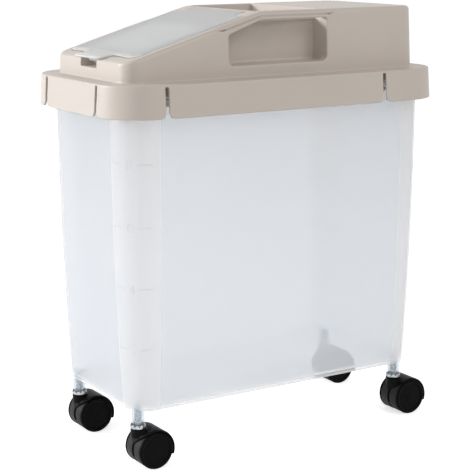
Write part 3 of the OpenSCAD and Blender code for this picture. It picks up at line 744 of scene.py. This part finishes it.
def moulded(name, base, rough, grain=0.06, variation=0.03, spec=0.5):
    """Opaque moulded plastic: a very fine grain, a slight unevenness of colour and gloss."""
    mat, nodes, links, out = material(name)
    plastic = node(nodes, "BsdfPrincipled", {"Specular IOR Level": spec})
    wide = noise(nodes, links, 9.0, 3.0)
    low, high = ([min(1, c * k) for c in base] for k in (1 - variation, 1 + variation))
    links.new(ramp(nodes, links, wide, low, high), plastic.inputs["Base Color"])
    mid = noise(nodes, links, 420.0, 3.0)
    links.new(ramp(nodes, links, mid, (rough - 0.03,) * 3, (rough + 0.04,) * 3), plastic.inputs["Roughness"])
    fine = noise(nodes, links, 2600.0, 2.0, 0.6)
    normal = bump(nodes, links, mid, grain * 0.6, 0.0002)
    normal = bump(nodes, links, fine, grain, 0.00008, after=normal)
    links.new(normal, plastic.inputs["Normal"])
    links.new(plastic.outputs["BSDF"], out.inputs["Surface"])
    return mat


def milky(name, tint, through, scatter, gloss_rough, see_rough=0.12):
    """Translucent plastic: part of the light goes straight on, part is scattered on, part is sent back."""
    mat, nodes, links, out = material(name)
    wide = noise(nodes, links, 6.0, 3.0)
    colour = ramp(nodes, links, wide, [c * 0.985 for c in tint], tint)
    normal = bump(nodes, links, noise(nodes, links, 60.0, 3.0), 0.02, 0.0002)
    normal = bump(nodes, links, noise(nodes, links, 1800.0), 0.02, 0.00006, after=normal)
    plastic = node(nodes, "BsdfPrincipled", {"Roughness": gloss_rough})
    links.new(colour, plastic.inputs["Base Color"])
    links.new(normal, plastic.inputs["Normal"])
    glow = nodes.new("ShaderNodeBsdfTranslucent")
    links.new(colour, glow.inputs["Color"])
    bright = tuple(min(1, c * 1.02) for c in tint) + (1,)
    clear = node(nodes, "BsdfRefraction", {"IOR": 1.01, "Roughness": see_rough, "Color": bright})
    body = mix(nodes, links, scatter, plastic.outputs["BSDF"], glow.outputs["BSDF"])
    links.new(mix(nodes, links, through, body, clear.outputs["BSDF"]), out.inputs["Surface"])
    return mat


def zinc(name):
    """Bright zinc with a cloudy, crystalline finish."""
    mat, nodes, links, out = material(name)
    steel = node(nodes, "BsdfPrincipled", {"Metallic": 1.0})
    cloud = noise(nodes, links, 380.0, 4.0)
    links.new(ramp(nodes, links, cloud, (0.3, 0.33, 0.35), (0.56, 0.58, 0.6)), steel.inputs["Base Color"])
    links.new(ramp(nodes, links, cloud, (0.2,) * 3, (0.34,) * 3), steel.inputs["Roughness"])
    fine = noise(nodes, links, 1500.0)
    links.new(bump(nodes, links, fine, 0.08, 0.00008), steel.inputs["Normal"])
    links.new(steel.outputs["BSDF"], out.inputs["Surface"])
    return mat


# The container's materials, in the order of their numbers on its faces
COLUMN, PANELS, INSIDE, THICK_EDGE_AND_HIGHLIGHT, TICKS, NUMBERS, SOCKETS = range(7)
TUB_TINT = (0.883, 0.892, 0.903)
TUB_PLASTIC = [milky("tub_columns", (0.94, 0.935, 0.935), 0.45, 0.55, 0.2),
               milky("tub_panels", TUB_TINT, 0.68, 0.55, 0.25, see_rough=0.03),
               milky("tub_inside", TUB_TINT, 0.66, 0.55, 0.25, see_rough=0.03),
               # Whiter, more opaque edge plastic: thicker plastic there, and a painted highlight along the
               # floor's inner edge
               milky("tub_thick_edge_and_highlight", (0.97, 0.97, 0.97), 0.12, 0.5, 0.3),
               milky("tub_ticks", (0.80, 0.82, 0.86), 0.3, 0.5, 0.3),
               milky("tub_figures", (0.885, 0.89, 0.90), 0.4, 0.5, 0.25),
               milky("tub_sockets", (0.885, 0.905, 0.92), 0.84, 0.55, 0.12, see_rough=0.02)]
COVER_PLASTIC = moulded("cover_plastic", (0.56, 0.50, 0.445), 0.42, spec=0.45)
LID_PLASTIC = milky("lid_plastic", (0.765, 0.77, 0.765), 0.22, 0.3, 0.34, see_rough=0.25)
# A lighter copy of the lid plastic for the strip in front of the crease: painted light
LID_FRONT_PAINTED_LIGHT = milky("lid_front", (0.87, 0.872, 0.865), 0.22, 0.3, 0.3, see_rough=0.25)
BLACK = moulded("black_nylon", (0.0022, 0.0022, 0.0025), 0.42, grain=0.12, variation=0.1, spec=0.07)
WHEEL = moulded("black_wheel", (0.0015, 0.0015, 0.0018), 0.45, grain=0.08, variation=0.1, spec=0.06)
TREAD = moulded("wheel_tread", (0.017, 0.017, 0.018), 0.6, grain=0.3, variation=0.2, spec=0.2)
ZINC = zinc("zinc_steel")


# Build
def hold(obj, body, replaced):
    """Lets a piece ride a body and hides the node that it stands for."""
    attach(obj, body)
    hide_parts(replaced)


def dress(obj, materials, body, replaced):
    obj.data.materials.clear()
    for mat in materials:
        obj.data.materials.append(mat)
    hold(obj, body, replaced)


def build_cover():
    step = 0.7
    cover = field_object("cover_shell", COVER_BOX, step, cover_field)
    dress(cover, [COVER_PLASTIC], "cover", "top_cover")


def build_lid():
    step = 0.45
    lid = field_object("lid_plate", LID_BOX, step, lid_field, place=from_slope)
    dress(lid, [LID_PLASTIC, LID_FRONT_PAINTED_LIGHT], "lid", "flip_lid")
    # Faces in front of the crease get the lighter copy of the lid plastic, which is painted light
    crease_y = (FRONT_Y + CREASE_V * CS) * MM
    front = [1 if f.center.y < crease_y else 0 for f in lid.data.polygons]
    lid.data.polygons.foreach_set("material_index", front)


def build_container():
    tub = container_object()
    end = SOCKET_END
    bottom = [(0, end), (SOCKET_R - 0.2, end), (SOCKET_R, end + 0.2), (SOCKET_R, 46.0)]
    flare = [(6.25, 48.5), (6.6, 50.6), (7.1, 52.2), (7.8, 53.6), (7.0, 55.6)]
    top = [(SOCKET_R, 57.0), (SOCKET_R, 58.9), (SOCKET_R - 0.5, 59.4), (0, 59.4)]
    bore_profile = [(0, end - 1), (BORE_R, end - 1), (BORE_R, BORE_TOP), (0, BORE_TOP)]
    steps = (("socket", bottom + flare + top, "UNION"), ("bore", bore_profile, "DIFFERENCE"))
    for name, profile, operation in steps:
        for _, sx, sy in CORNERS:
            part = lathe(name, profile, 48, centre=(sx * CASTER_X, sy * CASTER_Y, 0), closed=False)
            apply_boolean(tub, tub_part(part, SOCKETS), operation)
    join(tub, *marks())
    hold(tub, "bin", "container")


def build_casters():
    pattern = field_object("fender_piece", FENDER_BOX, 0.4, fender_field)
    fender_mesh = pattern.data
    bpy.data.objects.remove(pattern)
    for corner, sx, sy in CORNERS:
        cx, cy = sx * CASTER_X, sy * CASTER_Y
        place = Matrix.Translation((cx * MM, cy * MM, 0))
        mesh = fender_mesh.copy()
        mesh.transform(place)
        fender = bpy.data.objects.new("fender_piece_" + corner, mesh)
        bpy.context.scene.collection.objects.link(fender)
        dress(fender, [BLACK], "caster_" + corner, "fender_" + corner)
        for part, side in (("outer", sx), ("inner", -sx)):
            profile = [(r, side * h) for r, h in wheel_profile()]
            centre = (cx, cy + TRAIL, WHEEL_R)
            wheel = lathe("wheel_%s_piece_%s" % (part, corner), profile, 96, axis="x", centre=centre)
            wheel_name = "wheel_%s_%s" % (part, corner)
            dress(wheel, [WHEEL, TREAD], wheel_name, wheel_name)
            wheel.data.polygons.foreach_set("material_index", tread_faces(wheel.data, cx, cy))
        crown = crown_object("crown_piece_" + corner)
        crown.data.transform(place)
        dress(crown, [ZINC], "bin", "crown_sleeve_" + corner)
        for part in ("stem", "axle"):
            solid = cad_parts[part + "_" + corner]
            solid.data.materials.clear()
            solid.data.materials.append(ZINC)


build_cover()
build_lid()
build_container()
build_casters()


# Stage and light
def seen_directly(nodes, links):
    """1 for a ray from the camera, off a shiny surface or through a clear one."""
    path = nodes.new("ShaderNodeLightPath")
    seen = path.outputs["Is Camera Ray"]
    for ray in ("Is Glossy Ray", "Is Transmission Ray"):
        more = nodes.new("ShaderNodeMath")
        more.operation = "MAXIMUM"
        links.new(seen, more.inputs[0])
        links.new(path.outputs[ray], more.inputs[1])
        seen = more.outputs[0]
    return seen


def make_floor():
    """A pale floor that shows as white and keeps the object's shadow."""
    mat, nodes, links, out = material("floor")
    pale = node(nodes, "BsdfDiffuse", {"Color": (0.86, 0.86, 0.86, 1)})
    white = node(nodes, "Emission", {"Color": (1, 1, 1, 1), "Strength": 0.62})
    together = nodes.new("ShaderNodeAddShader")
    links.new(pale.outputs[0], together.inputs[0])
    links.new(white.outputs[0], together.inputs[1])
    surface = mix(nodes, links, seen_directly(nodes, links), pale.outputs[0], together.outputs[0])
    links.new(surface, out.inputs["Surface"])
    half = 40
    verts = [(half, half, 0), (-half, half, 0), (-half, -half, 0), (half, -half, 0)]
    floor = new_object("floor", verts, [(0, 1, 2, 3)])
    floor.data.materials.append(mat)


def make_world():
    world = bpy.data.worlds.new("studio")
    bpy.context.scene.world = world
    world.use_nodes = True
    nodes, links = world.node_tree.nodes, world.node_tree.links
    nodes.clear()
    out = nodes.new("ShaderNodeOutputWorld")
    soft = node(nodes, "Background", {"Color": (0.99, 0.99, 1, 1), "Strength": 0.46})
    white = node(nodes, "Background", {"Color": (1, 1, 1, 1), "Strength": 1.0})
    surface = mix(nodes, links, seen_directly(nodes, links), soft.outputs[0], white.outputs[0])
    links.new(surface, out.inputs["Surface"])


def lamp(name, at, size, watts, colour, target):
    data = bpy.data.lights.new(name, "AREA")
    data.shape = "SQUARE"
    data.size = size
    data.energy = watts
    data.color = colour
    obj = bpy.data.objects.new(name, data)
    bpy.context.scene.collection.objects.link(obj)
    obj.location = at
    obj.rotation_mode = "QUATERNION"
    obj.rotation_quaternion = (Vector(target) - Vector(at)).to_track_quat("-Z", "Y")


make_floor()
make_world()
lamp("key", (-1.35, -2.25, 0.95), 0.5, 60, (0.985, 1.0, 1.03), (0, 0, 0.25))
lamp("side", (1.9, 0.35, 1.75), 1.4, 17, (1.0, 0.985, 0.965), (0, 0, 0.33))
bpy.context.scene.view_settings.view_transform = "Standard"
